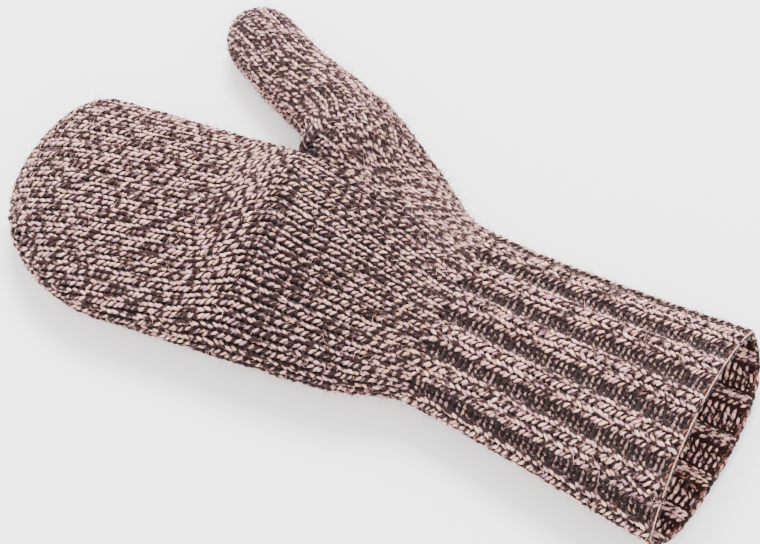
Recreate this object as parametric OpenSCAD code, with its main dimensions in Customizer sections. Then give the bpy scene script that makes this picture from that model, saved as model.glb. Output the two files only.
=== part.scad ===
// Hand-knitted mitten lying on its back with the palm up: a long ribbed cuff,
// a stocking-stitch hand and a separate thumb. The cuff's open end points along +X,
// the fingertip along -X and the thumb towards +Y. The underside rests on Z = 0.
// Places along the hand are counted from the wrist: minus into the cuff, plus to the tip.

/* [Cuff] */
// Length of the ribbed cuff, from the wrist to its open end
cuff_len = 126; // [90:1:170]
// Width of the cuff's open end
mouth_w = 110; // [95:1:130]
// Height of the cuff's open end
mouth_t = 46; // [36:1:56]
// Width of the cuff halfway along
cuff_mid_w = 97; // [84:1:118]
// Width at the wrist
wrist_w = 90; // [76:1:108]
// Thickness at the wrist
wrist_t = 36; // [28:1:44]
// Number of raised ribs round the cuff
rib_count = 12; // [8:1:14]
// Depth of the channels between the ribs
rib_depth = 1.6; // [0.5:0.1:2.2]
// Length of the thick cast-on edge at the open end
edge_len = 4; // [3:0.5:7]
// How far the cast-on edge stands proud of the ribs
edge_proud = 0.8; // [0.2:0.1:1.5]
// Thickness of the fine thread that runs round the open end
thread_d = 1.2; // [0.8:0.1:2]

/* [Hand] */
// Length of the hand, from the wrist to the fingertip
hand_len = 199; // [165:1:240]
// Width across the palm
palm_w = 108; // [92:1:125]
// Thickness of the palm
palm_t = 37; // [30:1:46]
// Width across the fingers
finger_w = 106; // [90:1:122]
// Thickness of the fingers
finger_t = 33; // [26:1:40]
// How far the hand turns away from the cuff's line, in degrees
hand_turn = 10; // [0:1:16]
// Where the fingers fold, from the wrist
knuckle_at = 116; // [112:1:135]
// Where the straight finger tube ends and the round tip begins, from the knuckle fold
tip_after = 22; // [16:1:40]
// Length of the rounded corner on the thumb side
tip_round_thumb = 28; // [20:1:40]
// Length of the rounded corner on the little-finger side
tip_round_little = 60; // [40:1:61]

/* [Thumb] */
// Where the middle of the thumb opening is, from the wrist
thumb_at = 64; // [60:1:70]
// Length of the thumb opening in the side of the palm
thumb_opening = 57; // [44:1:60]
// Angle between the thumb and the line of the cuff, in degrees
thumb_angle = 24; // [18:1:32]
// Length of the thumb beyond its fold
thumb_len = 77; // [60:1:95]
// Width of the thumb at its fold
thumb_w = 44; // [36:1:48]
// Width of the thumb near its tip
thumb_tip_w = 31; // [26:1:38]
// Thickness of the thumb at its fold
thumb_t = 29; // [24:1:34]
// Thickness of the thumb near its tip
thumb_tip_t = 24; // [20:1:30]
// Length of the thumb's rounded tip
thumb_round = 17; // [12:1:24]

/* [Fabric] */
// Thickness of the knitted fabric
wall = 4; // [3:0.5:5]
// Thickness of the woven-in yarn ends
yarn_d = 2.4; // [1.8:0.2:3]
// Gap left between two pieces at a fold
fold_gap = 0.7; // [0.4:0.1:1.5]
// Gap between the yarn ends and the fabric they lie on
tail_gap = 0.2; // [0.1:0.1:0.5]

/* [Folds] */
// How far the cuff bends up at the wrist, in degrees
wrist_up = 45; // [20:1:50]
// How far the cuff bends down at the wrist, in degrees
wrist_down = 30; // [10:1:40]
// How far the fingers fold up over the palm, in degrees
finger_up = 60; // [20:1:60]
// How far the thumb swings in towards the fingers, in degrees
thumb_in = 12; // [5:1:12]
// How far the thumb swings out from the fingers, in degrees
thumb_out = 20; // [5:1:25]

/* [Hidden] */

wool = "rosybrown";
dark_wool = "sienna";
pale_thread = "mistyrose";

// Share of a section's thickness that its middle line lies above the floor.
// It is under a half, so each section's underside is pressed flat.
mid_share = 0.45;
// Points round a section, and round a ribbed one
sides = 48;
rib_points = 8;
ribbed_sides = rib_count * rib_points;
thread_sides = 6;
// Gap between the thread and the edge that it lies on
thread_gap = 0.05;
// Rings along each rounded tip, and the share of the tip that the gather fills
tip_rings = 7;
gather_from = 0.985;
// Where the turn at the wrist starts and ends
turn_from = -15;
turn_to = 40;
// Where the palm reaches its full width, and where it is widest
heel_at = 30;
palm_at = 70;
// Places of the fixed rings in the palm, around the thumb opening
opening_from = thumb_at - thumb_opening / 2;
opening_to = thumb_at + thumb_opening / 2;
opening_rings = 3;
// Points of the palm's section on each side of the thumb line that the opening takes
opening_half = 5;
// The thumb's middle line starts inside the palm, this far before the middle of its
// opening and this far in from the palm's edge, and is this long up to the thumb's fold
thumb_before = 27.3;
thumb_inside = 8.1;
thumb_root = 46;
// Lengths of the yarn ends
tail_len = 34;

widths = [[-cuff_len, mouth_w], [-cuff_len / 2, cuff_mid_w], [0, wrist_w],
    [heel_at, (wrist_w + 5 * palm_w) / 6], [palm_at, palm_w], [knuckle_at, finger_w],
    [hand_len, finger_w]];
heights = [[-cuff_len, mouth_t], [-cuff_len / 2, (mouth_t + 2 * wrist_t) / 3],
    [0, wrist_t], [palm_at, palm_t], [knuckle_at, (palm_t + 2 * finger_t) / 3],
    [hand_len, finger_t]];
thumb_end = thumb_root + thumb_len;
thumb_widths = [[thumb_root, thumb_w], [(thumb_root + thumb_end) / 2,
    (2 * thumb_w + thumb_tip_w) / 3], [thumb_end, thumb_tip_w]];
thumb_heights = [[thumb_root, thumb_t], [thumb_end, thumb_tip_t]];

// A smooth curve through the rows [place, value] of a table
function row_at(s, t, i = 0) =
    (i >= len(t) - 2 || s < t[i + 1][0]) ? i : row_at(s, t, i + 1);
function tangent(t, i) =
    let (a = max(i - 1, 0), b = min(i + 1, len(t) - 1))
    (t[b][1] - t[a][1]) / (t[b][0] - t[a][0]);
function curve(s, t) =
    let (i = row_at(s, t), d = t[i + 1][0] - t[i][0],
        u = min(1, max(0, (s - t[i][0]) / d)))
    t[i][1] * (1 + 2 * u) * pow(1 - u, 2) + t[i + 1][1] * u * u * (3 - 2 * u)
    + d * u * (1 - u) * (tangent(t, i) * (1 - u) - tangent(t, i + 1) * u);

// The hand's middle line: straight in the cuff, an arc at the wrist, then straight
turn_r = (turn_to - turn_from) / max(hand_turn, 0.01) * 180 / PI;
function heading(s) =
    hand_turn * min(1, max(0, (s - turn_from) / (turn_to - turn_from)));
function middle(s) =
    let (a = heading(s), past = max(0, s - turn_to), before = min(s, turn_from))
    [-before - turn_r * sin(a) - past * cos(a), -turn_r * (1 - cos(a)) - past * sin(a)];
// The direction across the hand, towards the thumb
function across(s) = [-sin(heading(s)), cos(heading(s))];

// Share of the full size left at a place in a rounded end of length r that ends at last
function rounding(s, last, r) = sqrt(max(0, 1 - pow(max(0, (s - last + r) / r), 2)));

// Angle of point i of n, evenly spaced round the flat oval sections
flatness = sqrt(cuff_mid_w / wrist_t);
function angle(i, n) = atan2(flatness * sin(360 * i / n), cos(360 * i / n));

// Height of a point at angle a on a section of thickness t, inset from the outside
function lift(t, a, inset, k) =
    max(inset, mid_share * t + ((1 - mid_share) * t - inset) * k * sin(a));

// A point on the hand's section at place s
function hand_point(s, a, inset) =
    let (r = (cos(a) > 0) ? tip_round_thumb : tip_round_little,
        mean_r = (tip_round_thumb + tip_round_little) / 2,
        half = curve(s, widths) / 2 - inset,
        y = half * cos(a) * rounding(s, hand_len - inset, r - inset / 2),
        k = rounding(s, hand_len - inset, mean_r - inset / 2),
        c = middle(s) + y * across(s))
    [c[0], c[1], lift(curve(s, heights), a, inset, k)];

// A point on the thumb's section at place s along its own line
thumb_start = middle(thumb_at - thumb_before)
    + (palm_w / 2 - thumb_inside) * across(thumb_at - thumb_before);
thumb_line = [-cos(thumb_angle), sin(thumb_angle)];
thumb_across = [sin(thumb_angle), cos(thumb_angle)];
function thumb_point(s, a, inset) =
    let (k = rounding(s, thumb_end - inset, thumb_round - inset / 2),
        y = (curve(s, thumb_widths) / 2 - inset) * cos(a) * k,
        c = thumb_start + s * thumb_line + y * thumb_across)
    [c[0], c[1], lift(curve(s, thumb_heights), a, inset, k)];

// Distance that a piece's end keeps from its fold, so that the fold can close:
// h is the distance from the fold's axis, towards the side that closes by angle up
function fold_back(h, up, down) =
    fold_gap + max(0, h) * tan(up / 2) + max(0, -h) * tan(down / 2);
function above(s) = mid_share * curve(s, heights);
function wrist_end(a, inset) =
    fold_back(hand_point(0, a, inset)[2] - above(0), wrist_up, wrist_down);
function knuckle_end(a, inset) =
    fold_back(hand_point(knuckle_at, a, inset)[2] - above(knuckle_at), finger_up, 0);
function thumb_root_end(a, inset) =
    fold_back((thumb_w / 2 - inset) * cos(a), thumb_out, thumb_in);

// Rings of n points. Each place in the list gives one ring.
function hand_rings(places, n, inset) =
    [for (s = places) [for (i = [0:n - 1]) hand_point(s, angle(i, n), inset)]];
function ribbed_ring(s, inset, deep) =
    [for (i = [0:ribbed_sides - 1])
        let (a = angle(i, ribbed_sides), turn = 360 * i / rib_points,
            channel = deep * rib_depth * (1 - cos(turn)) / 2,
            back = (s == 0) ? wrist_end(a, inset) : 0)
        hand_point(s - back, a, inset + channel)];

// Two triangles for the four points a, b, c, d
function two(a, b, c, d) = [[a, b, c], [a, c, d]];
function flat_list(l) = [for (x = l) for (y = x) y];

// A closed shell between outer rings and inner rings, both m rings of n points.
// gap = [first ring, last ring, points each side of point 0] leaves an opening.
module shell(outer, inner, gap = [0, 0, 0]) {
    m = len(outer);
    n = len(outer[0]);
    in = m * n;
    half = gap[2];
    function at(r, i) = r * n + (i + n) % n;
    function open(r, i) =
        r >= gap[0] && r < gap[1] && ((i < half) || (i >= n - half));
    skins = [for (r = [0:m - 2]) for (i = [0:n - 1]) if (!open(r, i))
        concat(two(at(r, i), at(r, i + 1), at(r + 1, i + 1), at(r + 1, i)),
            two(in + at(r, i + 1), in + at(r, i), in + at(r + 1, i), in + at(r + 1, i + 1)))];
    ends = [for (i = [0:n - 1])
        concat(two(at(0, i), in + at(0, i), in + at(0, i + 1), at(0, i + 1)),
            two(at(m - 1, i), at(m - 1, i + 1), in + at(m - 1, i + 1), in + at(m - 1, i)))];
    rim = opening_loop(gap);
    walls = [for (k = [0:len(rim) - 1])
        let (a = at(rim[k][0], rim[k][1]), b = at(rim[(k + 1) % len(rim)][0], rim[(k + 1) % len(rim)][1]))
        two(a, b, in + b, in + a)];
    polyhedron(concat(flat_list(outer), flat_list(inner)),
        flat_list(concat(skins, ends, (half > 0) ? walls : [])), convexity = 6);
}

// The ring and point numbers round an opening in a shell, in order
function opening_loop(gap) =
    let (from = gap[0], to = gap[1], half = gap[2])
    (half == 0) ? [] :
    concat([for (i = [-half:1:half - 1]) [from, i]], [for (r = [from:1:to - 1]) [r, half]],
        [for (i = [half:-1:1 - half]) [to, i]], [for (r = [to:-1:from + 1]) [r, -half]]);

// A domed plug that closes the hole a rounded tip leaves
module plug(outer, inner, outer_pole, inner_pole) {
    n = len(outer);
    in = n + 1;
    faces = [for (i = [0:n - 1])
        let (j = (i + 1) % n)
        concat([[i, j, n], [in + j, in + i, in + n]], two(i, in + i, in + j, j))];
    polyhedron(concat(outer, [outer_pole], inner, [inner_pole]), flat_list(faces), convexity = 2);
}

// Places of the rings along a rounded tip, closer together towards its end
function tip_places(from, last) =
    [for (k = [0:tip_rings])
        from + (last - from) * sin(90 * k / tip_rings) * gather_from];
function tip_rest(from, last) = from + (last - from) * gather_from;

// The palm's rings: the wrist fold, the thumb opening and the knuckle fold
palm_places = concat([0, (opening_from + 12) / 2],
    [for (k = [0:opening_rings]) opening_from + thumb_opening * k / opening_rings],
    [knuckle_at]);
palm_gap = [2, 2 + opening_rings, opening_half];
function palm_point(r, i, inset) =
    let (a = angle(i, sides), last = len(palm_places) - 1,
        back = (r == 0) ? wrist_end(a, inset)
            : (r == last) ? -knuckle_end(a, inset) : 0)
    hand_point(palm_places[r] + back, a, inset);
function palm_rings(inset) =
    [for (r = [0:len(palm_places) - 1]) [for (i = [0:sides - 1]) palm_point(r, i, inset)]];

// The gusset runs from the rim of the palm's opening to the thumb's fold
gusset_loop = opening_loop(palm_gap);
function rim_points(inset) = [for (q = gusset_loop) palm_point(q[0], q[1], inset)];
function root_angle(q) =
    atan2(q[1] / opening_half, (palm_gap[0] + palm_gap[1] - 2 * q[0]) / opening_rings);
function root_points(inset) =
    [for (q = gusset_loop)
        let (a = root_angle(q))
        thumb_point(thumb_root - thumb_root_end(a, inset), a, inset)];

tip_from = knuckle_at + tip_after;
finger_places = [knuckle_at, (knuckle_at + tip_from + 10) / 2, tip_from];
function finger_rings(inset) =
    [for (s = finger_places) [for (i = [0:sides - 1])
        let (a = angle(i, sides), back = (s == knuckle_at) ? knuckle_end(a, inset) : 0)
        hand_point(s + back, a, inset)]];
function fingertip_rings(inset) =
    hand_rings(tip_places(tip_from, hand_len - inset), sides, inset);

thumb_sides = 32;
thumb_tip_from = thumb_end - thumb_round - 6;
function thumb_ring(s, inset) =
    [for (i = [0:thumb_sides - 1])
        let (a = 360 * i / thumb_sides, back = (s == thumb_root) ? thumb_root_end(a, inset) : 0)
        thumb_point(s + back, a, inset)];
thumb_places = [thumb_root, thumb_root + 14, (thumb_root + thumb_tip_from) / 2 + 4, thumb_tip_from];
function thumb_tip_rings(inset) =
    [for (s = tip_places(thumb_tip_from, thumb_end - inset)) thumb_ring(s, inset)];

// The part is centred over the origin in plan
outline = flat_list(concat(fingertip_rings(0), finger_rings(0), thumb_tip_rings(0),
    [ribbed_ring(-cuff_len, -edge_proud, 0)]));
xs = [for (p = outline) p[0]];
ys = [for (p = outline) p[1]];
thread_proud = thread_gap + thread_d;
centre = [(max(xs) + thread_proud + min(xs)) / 2, (max(ys) + min(ys)) / 2, 0];
module placed() {
    translate(-centre) children();
}

// --- Cuff ---

module cuff_ribbing() {
    places = [-cuff_len + edge_len, -cuff_len * 0.75, -cuff_len / 2, -cuff_len / 4, -14, 0];
    color(wool) placed()
        shell([for (s = places) ribbed_ring(s, 0, 1)], [for (s = places) ribbed_ring(s, wall, 0)]);
}

module cast_on_edge() {
    places = [-cuff_len, -cuff_len + edge_len];
    color(dark_wool) placed()
        shell([for (s = places) ribbed_ring(s, -edge_proud, 0)],
            [for (s = places) ribbed_ring(s, wall, 0)]);
}

// A thread laid round the end of the cast-on edge, in the middle of the fabric
module edge_thread() {
    r = thread_d / 2;
    n = sides;
    line = hand_rings([-cuff_len], n, wall / 2)[0];
    points = [for (i = [0:n - 1])
        let (d = line[(i + 1) % n] - line[(i + n - 1) % n], out = [0, d[2], -d[1]] / norm(d))
        for (k = [0:thread_sides - 1])
            let (a = 360 * k / thread_sides)
            line[i] + [thread_gap + r, 0, 0] + r * (cos(a) * out + sin(a) * [1, 0, 0])];
    faces = [for (i = [0:n - 1]) for (k = [0:thread_sides - 1])
        let (j = ((i + 1) % n) * thread_sides, l = (k + 1) % thread_sides, b = i * thread_sides)
        two(b + k, b + l, j + l, j + k)];
    color(pale_thread) placed() polyhedron(points, flat_list(faces), convexity = 6);
}

// --- Hand ---

module palm_and_back() {
    color(wool) placed() shell(palm_rings(0), palm_rings(wall), palm_gap);
}

module thumb_gusset() {
    color(wool) placed() shell([rim_points(0), root_points(0)], [rim_points(wall), root_points(wall)]);
}

// --- Fingers ---

module finger_tube() {
    color(wool) placed() shell(finger_rings(0), finger_rings(wall));
}

module fingertip_decreases() {
    color(wool) placed() shell(fingertip_rings(0), fingertip_rings(wall));
}

module fingertip_gather() {
    last = hand_rings([tip_rest(tip_from, hand_len)], sides, 0)[0];
    last_in = hand_rings([tip_rest(tip_from, hand_len - wall)], sides, wall)[0];
    color(dark_wool) placed()
        plug(last, last_in, hand_point(hand_len, 0, 0), hand_point(hand_len - wall, 0, wall));
}

// --- Thumb ---

module thumb_tube() {
    color(wool) placed()
        shell([for (s = thumb_places) thumb_ring(s, 0)], [for (s = thumb_places) thumb_ring(s, wall)]);
}

module thumb_tip_decreases() {
    color(wool) placed() shell(thumb_tip_rings(0), thumb_tip_rings(wall));
}

module thumb_gather() {
    last = thumb_ring(tip_rest(thumb_tip_from, thumb_end), 0);
    last_in = thumb_ring(tip_rest(thumb_tip_from, thumb_end - wall), wall);
    color(dark_wool) placed()
        plug(last, last_in, thumb_point(thumb_end, 0, 0), thumb_point(thumb_end - wall, 0, wall));
}

// --- Yarn ends woven in on the inside, against the lower layer ---

module yarn_end(at, turn) {
    translate([at[0], at[1], wall + tail_gap + yarn_d / 2]) rotate([0, 0, turn])
        rotate([0, 90, 0]) cylinder(d = yarn_d, h = tail_len, $fn = 24);
}

module cast_on_yarn_end() {
    color(dark_wool) placed() yarn_end(middle(-cuff_len + edge_len + tail_len), 0);
}

module fingertip_yarn_end() {
    color(dark_wool) placed() yarn_end(middle(tip_from + 24), hand_turn);
}

module thumb_yarn_end() {
    color(dark_wool) placed()
        yarn_end(thumb_start + (thumb_tip_from + 4) * thumb_line, -thumb_angle);
}

cuff_ribbing();
cast_on_edge();
edge_thread();
cast_on_yarn_end();
palm_and_back();
thumb_gusset();
finger_tube();
fingertip_decreases();
fingertip_gather();
fingertip_yarn_end();
thumb_tube();
thumb_tip_decreases();
thumb_gather();
thumb_yarn_end();
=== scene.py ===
"""Hand-knitted mitten, palm up: every stitch is a loop of two-ply marled yarn.

The fabric is worked out in millimetres in the part's own plan: rows run across the mitten and are
numbered from the wrist, minus into the cuff and plus towards the fingertip and the thumb tip.
"""

import math

import bpy
import numpy as np
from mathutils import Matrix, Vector


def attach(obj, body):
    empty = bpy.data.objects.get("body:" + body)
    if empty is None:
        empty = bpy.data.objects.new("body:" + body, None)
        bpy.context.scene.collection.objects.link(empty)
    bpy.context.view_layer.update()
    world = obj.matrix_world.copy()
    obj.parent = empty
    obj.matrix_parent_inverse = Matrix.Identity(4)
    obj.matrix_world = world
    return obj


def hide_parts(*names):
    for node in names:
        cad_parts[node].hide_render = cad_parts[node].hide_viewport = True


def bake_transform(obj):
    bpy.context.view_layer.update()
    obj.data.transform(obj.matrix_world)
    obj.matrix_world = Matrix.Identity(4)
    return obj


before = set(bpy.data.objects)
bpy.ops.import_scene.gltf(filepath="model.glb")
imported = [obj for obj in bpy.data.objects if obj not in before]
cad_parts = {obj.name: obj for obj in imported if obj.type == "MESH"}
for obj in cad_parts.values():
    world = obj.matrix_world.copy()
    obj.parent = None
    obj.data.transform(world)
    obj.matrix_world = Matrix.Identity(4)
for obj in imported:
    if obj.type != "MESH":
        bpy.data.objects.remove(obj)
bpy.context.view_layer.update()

bl_info = {
    "name": "Knitted mitten",
    "version": (1, 0, 0),
    "blender": (4, 5, 0),
    "location": "3D View > Sidebar > Mitten",
    "description": "Builds a hand-knitted mitten loop by loop around its frame",
    "category": "Object",
}

# --- The mitten's shape, in millimetres. Places are counted from the wrist ---

# The middle of the mitten's outline, where the part's frame has its origin
CENTRE = np.array([-35.244, 12.9002, 0.0])
HAND_LEN = 199.0
# Share of a section's thickness that its middle lies above the floor
MID_SHARE = 0.45
# The hand turns away from the cuff's line between these two places
TURN_FROM, TURN_TO, HAND_TURN = -15.0, 40.0, math.radians(10)
TURN_R = (TURN_TO - TURN_FROM) / HAND_TURN
# Lengths over which the fingertip rounds off at its two corners and from above
TIP_ROUND_THUMB, TIP_ROUND_LITTLE, TIP_ROUND_TOP = 28.0, 60.0, 44.0
WIDTHS = [(-126, 110), (-63, 97), (0, 90), (30, 105), (70, 108), (116, 106), (199, 106)]
HEIGHTS = [(-126, 46), (-63, 39.33), (0, 36), (70, 37), (116, 34.33), (199, 33)]
# The thumb's line starts inside the palm; places on it are counted from there
THUMB_START = np.array([-43.965, 41.0522])
THUMB_ANGLE = math.radians(24)
THUMB_LINE = np.array([-math.cos(THUMB_ANGLE), math.sin(THUMB_ANGLE)])
THUMB_ACROSS = np.array([math.sin(THUMB_ANGLE), math.cos(THUMB_ANGLE)])
THUMB_ROOT_AT, THUMB_END, THUMB_ROUND = 45.0, 123.0, 17.0
THUMB_WIDTHS = [(45, 42), (54, 38), (64, 36.5), (84, 34.5), (105, 33.5), (123, 31)]
THUMB_HEIGHTS = [(45, 30), (84, 28), (123, 24)]
THUMB_OFFSETS = [(45, 1.4), (57, 2.4), (82, 0), (123, 0)]
# The thumb's root stands this much higher than its tip does, down to nothing at the second place
THUMB_RAISED, THUMB_LEVEL_AT = 2.4, 75.0
# The outer edge of the gusset, as shares of its length with x and y, from the wrist to the thumb's root
GUSSET_EDGE = [
    (0, -1.9, 42.8),
    (0.14, -12, 43.6),
    (0.42, -35.8, 58.2),
    (0.7, -56.7, 69.4),
    (1, -77.4, 79.4),
]
# Height of the gusset's section at the thumb's root, and the share of its rows from which it stands up
GUSSET_HIGH, GUSSET_STANDS = 30.0, 0.45
# Angle on the wrist's section where the gusset's wales start
GUSSET_FROM = math.radians(62)
ROW = 2.7
CUFF_ROWS, PALM_ROWS = 46, 31
CROTCH_AT = PALM_ROWS * ROW
# Stitches across one face of each part
RIB_STITCHES = 24
HAND_STITCHES, FINGER_STITCHES = 16, 21
GUSSET_STITCHES, THUMB_STITCHES = 8, 12
# A thumb's stitches get no narrower than this
THUMB_LEAST = 4.0
# Rows past the fork: from the first the fingers' wales are counted from the middle, at the second the
# last stitch has been added, and the third is the one whose width all the rows' stitches keep
MIDDLE_ROWS, ADDED_ROWS, FULL_ROWS = 6, 11, 12
# The fingers' wales drift by this share of the way beyond a place past the fork
WALE_DRIFT, DRIFT_FROM = 0.1, 10.0
# The yarn's middle lies this far inside the fabric's outline
INSET = 2.0
# Level of the floor and half its width, in metres
FLOOR, FLOOR_HALF = -0.001, 6.0
# The underside is pressed flat within this much of its lowest level
LOWEST, PRESSED = INSET + 0.2, 3.0
# At the open end the upper layer stops short by this much and the lower one reaches out
MOUTH_BACK, MOUTH_OUT = 3.0, 10.0
# The lower one reaches this share further on the thumb's side, and falls short of it on the other
MOUTH_UNEVEN = 0.25
# The thumb's side of the open end is this much shorter, and all of it by the second amount
MOUTH_SKEW, MOUTH_SHORT = 6.0, 2.0
# The last row stops this far short of the tip, and the gather closes it
TIP_GAP = 0.04
# Where the fabric is drawn in at the fork of the thumb, how wide, how deep and how much painted shade
# darkens its crease
FORK_OUT, FORK_WIDE, FORK_DEEP, FORK_SHADE = 53.0, 5.0, 2.5, 0.35
# How far the fork's web reaches over to the hand, and over what length it ends
FORK_WEB, FORK_WEB_LEN = 5.0, 8.0


def curve(s, table):
    """A smooth curve through rows (place, value)."""
    t = np.array(table, float)
    x, y = t[:, 0], t[:, 1]
    m = np.empty(len(x))
    m[1:-1] = (y[2:] - y[:-2]) / (x[2:] - x[:-2])
    m[0] = (y[1] - y[0]) / (x[1] - x[0])
    m[-1] = (y[-1] - y[-2]) / (x[-1] - x[-2])
    s = np.clip(s, x[0], x[-1])
    i = np.clip(np.searchsorted(x, s, side="right") - 1, 0, len(x) - 2)
    d = x[i + 1] - x[i]
    u = (s - x[i]) / d
    return (
        y[i] * (1 + 2 * u) * (1 - u) ** 2
        + y[i + 1] * u * u * (3 - 2 * u)
        + d * u * (1 - u) * (m[i] * (1 - u) - m[i + 1] * u)
    )


def smooth(x, a, b):
    """0 up to a, 1 from b on and an even curve between them."""
    u = np.clip((np.asarray(x, float) - a) / (b - a), 0, 1)
    return u * u * (3 - 2 * u)


def heading(s):
    """The angle between the hand's line and the cuff's at place s."""
    return HAND_TURN * np.clip((s - TURN_FROM) / (TURN_TO - TURN_FROM), 0, 1)


def middle(s):
    """The middle line of the cuff and the hand, in plan."""
    a = heading(s)
    past = np.maximum(0, s - TURN_TO)
    x = -np.minimum(s, TURN_FROM) - TURN_R * np.sin(a) - past * np.cos(a)
    y = -TURN_R * (1 - np.cos(a)) - past * np.sin(a)
    return np.stack([x, y], -1)


def across(s):
    """The direction in plan from the middle line to the thumb's side."""
    a = heading(s)
    return np.stack([-np.sin(a), np.cos(a)], -1)


def rounding(s, last, r):
    """Share of the full size that a section has where it rounds off over length r up to last."""
    return np.sqrt(np.maximum(0, 1 - np.maximum(0, (s - last + r) / r) ** 2))


def hand_point(s, a):
    """The fabric's middle layer at place s and angle a, from 0 at the thumb's side over the top."""
    s, a = np.broadcast_arrays(np.asarray(s, float), np.asarray(a, float))
    r = np.where(np.cos(a) > 0, TIP_ROUND_THUMB, TIP_ROUND_LITTLE)
    last = HAND_LEN - INSET
    y = (curve(s, WIDTHS) / 2 - INSET) * np.cos(a) * rounding(s, last, r - INSET / 2)
    t = curve(s, HEIGHTS)
    k = rounding(s, last, TIP_ROUND_TOP - INSET / 2)
    z = MID_SHARE * t + ((1 - MID_SHARE) * t - INSET) * k * np.sin(a)
    c = middle(s) + y[..., None] * across(s)
    return np.concatenate([c, z[..., None]], -1)


def thumb_point(s, a):
    """The same on the thumb, with s along the thumb's line and a from its outer edge."""
    s, a = np.broadcast_arrays(np.asarray(s, float), np.asarray(a, float))
    k = rounding(s, THUMB_END - INSET, THUMB_ROUND - INSET / 2)
    y = (curve(s, THUMB_WIDTHS) / 2 - INSET) * np.cos(a) * k + curve(s, THUMB_OFFSETS)
    # The fork's web reaches over to the edge of the hand
    y = y - FORK_WEB * (1 - smooth(s, THUMB_ROOT_AT, THUMB_ROOT_AT + FORK_WEB_LEN)) * (1 - np.cos(a)) / 2
    t = curve(s, THUMB_HEIGHTS)
    mid = MID_SHARE * t + THUMB_RAISED * (1 - smooth(s, THUMB_ROOT_AT, THUMB_LEVEL_AT))
    z = mid + ((1 - MID_SHARE) * t - INSET) * k * np.sin(a)
    c = THUMB_START + s[..., None] * THUMB_LINE + y[..., None] * THUMB_ACROSS
    return np.concatenate([c, z[..., None]], -1)


def places(point, start, last):
    """The length over the surface from start to last, and the place at each share of it."""
    s = np.linspace(start, last, 900)
    angles = np.radians(np.arange(5, 180, 10))
    p = point(s[:, None], angles[None, :])
    step = np.linalg.norm(np.diff(p, axis=0), axis=-1)
    total = np.concatenate([[0], np.cumsum(np.sqrt((step**2).mean(1)))])
    return total[-1], lambda share: np.interp(share * total[-1], total, s)


def pinch(p):
    """How far the fabric is drawn in at the fork of the thumb, 0 to 1."""
    fork = middle(CROTCH_AT) + FORK_OUT * across(CROTCH_AT)
    return np.exp(-((p[..., :2] - fork) ** 2).sum(-1) / FORK_WIDE**2)


class Face:
    """One face of a run of fabric, as a grid of points: a few to each row, at even steps across."""

    STEP = 0.25
    ACROSS = 120
    # The steps across whose normals tell which way the face looks
    INNER = slice(20, 100)
    # The least share of a stitch that stands alone at an edge
    LEAST = 0.45

    def __init__(self, first, last, section, side, reference):
        self.first = first
        self.rho = np.arange(first, last + 1e-6, self.STEP)
        grid = []
        lengths = []
        for rho in self.rho:
            p = section(rho, side)
            d = np.concatenate([[0], np.cumsum(np.linalg.norm(np.diff(p, axis=0), axis=1))])
            f = np.linspace(0, d[-1], self.ACROSS + 1)
            grid.append(np.stack([np.interp(f, d, p[:, k]) for k in range(3)], -1))
            lengths.append(d[-1])
        g = np.array(grid)
        z = g[..., 2]
        pressed = LOWEST + PRESSED * np.exp((z - LOWEST - PRESSED) / PRESSED)
        g[..., 2] = np.where(z < LOWEST + PRESSED, pressed, z)
        g[..., 2] -= side * FORK_DEEP * pinch(g)
        self.p = g
        self.length = np.array(lengths)
        n = np.cross(np.gradient(g, axis=0), np.gradient(g, axis=1))
        n /= np.linalg.norm(n, axis=-1, keepdims=True) + 1e-9
        if np.sign(n[:, self.INNER, 2].mean()) != side:
            n = -n
        self.n = n
        # Arc of a wale: base + sign * number * width
        self.base, self.sign, self.width = reference(self.rho, self.length)

    def at(self, rho, f):
        """Points and normals at row rho and share f of the way across."""
        r = np.clip((rho - self.first) / self.STEP, 0, len(self.rho) - 1.001)
        c = np.clip(f, 0, 1) * self.ACROSS
        i = r.astype(int)
        j = np.minimum(c.astype(int), self.ACROSS - 1)
        u = (r - i)[..., None]
        v = (c - j)[..., None]

        def mix(g):
            near = g[i, j] * (1 - u) + g[i + 1, j] * u
            far = g[i, j + 1] * (1 - u) + g[i + 1, j + 1] * u
            return near * (1 - v) + far * v

        return mix(self.p), mix(self.n)

    def wales(self, i):
        """The places between stitches in row i, as wale numbers from f=0 to f=1."""
        b, w, length = (np.interp(i, self.rho, x) for x in (self.base, self.width, self.length))
        a, e = self.sign * (0 - b) / w, self.sign * (length - b) / w
        lo, hi = min(a, e), max(a, e)
        whole = range(math.floor(lo), math.ceil(hi) + 1)
        inner = [k for k in whole if lo + self.LEAST < k < hi - self.LEAST]
        marks = np.array([lo] + inner + [hi])
        return marks if e > a else marks[::-1]

    def share(self, rho, number):
        """The share of the way across at which a wale number lies."""
        b, w, length = (np.interp(rho, self.rho, x) for x in (self.base, self.width, self.length))
        return np.clip((b + self.sign * number * w) / length, 0, 1)


# --- Stitches. Rises are in rows, leans in stitches and the rest in millimetres ---

# Points of yarn to a stitch
ALONG = 12
LOOP_RISE = 1.02
LOOP_LEAN, RIB_LEAN = 0.23, 0.27
LOOP_DEPTH = 0.85
# How much stitches differ in rise, lean, depth and thickness
RISE_VARIES, LEAN_VARIES, DEPTH_VARIES, THICKNESS_VARIES = 0.1, 0.06, 0.1, 0.05
# How far wales stand up between their valleys
WALE_HIGH = 0.3
# How far ribs stand up, how deep all ribbing lies, and how far a rib's two wales spread
RIB_HIGH, RIB_LOW, RIB_SPREAD = 1.45, 0.6, 0.3
# Painted shade in the ribbing's valleys, more where they lie deeper
RIB_VALLEY_SHADE = 0.55
# Length of yarn in which its plies go once round
PLY_TWIST = 5.2
# How far the two plies stand out of a round section, as a share
LOBE = 0.13
SIDES = 8
# How deep the dark sheet lies under the yarn's middle: it stands in for the fibre haze between the loops
# and is coloured near-black as painted shade of the gaps
SHEET_DEPTH = -0.55


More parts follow.
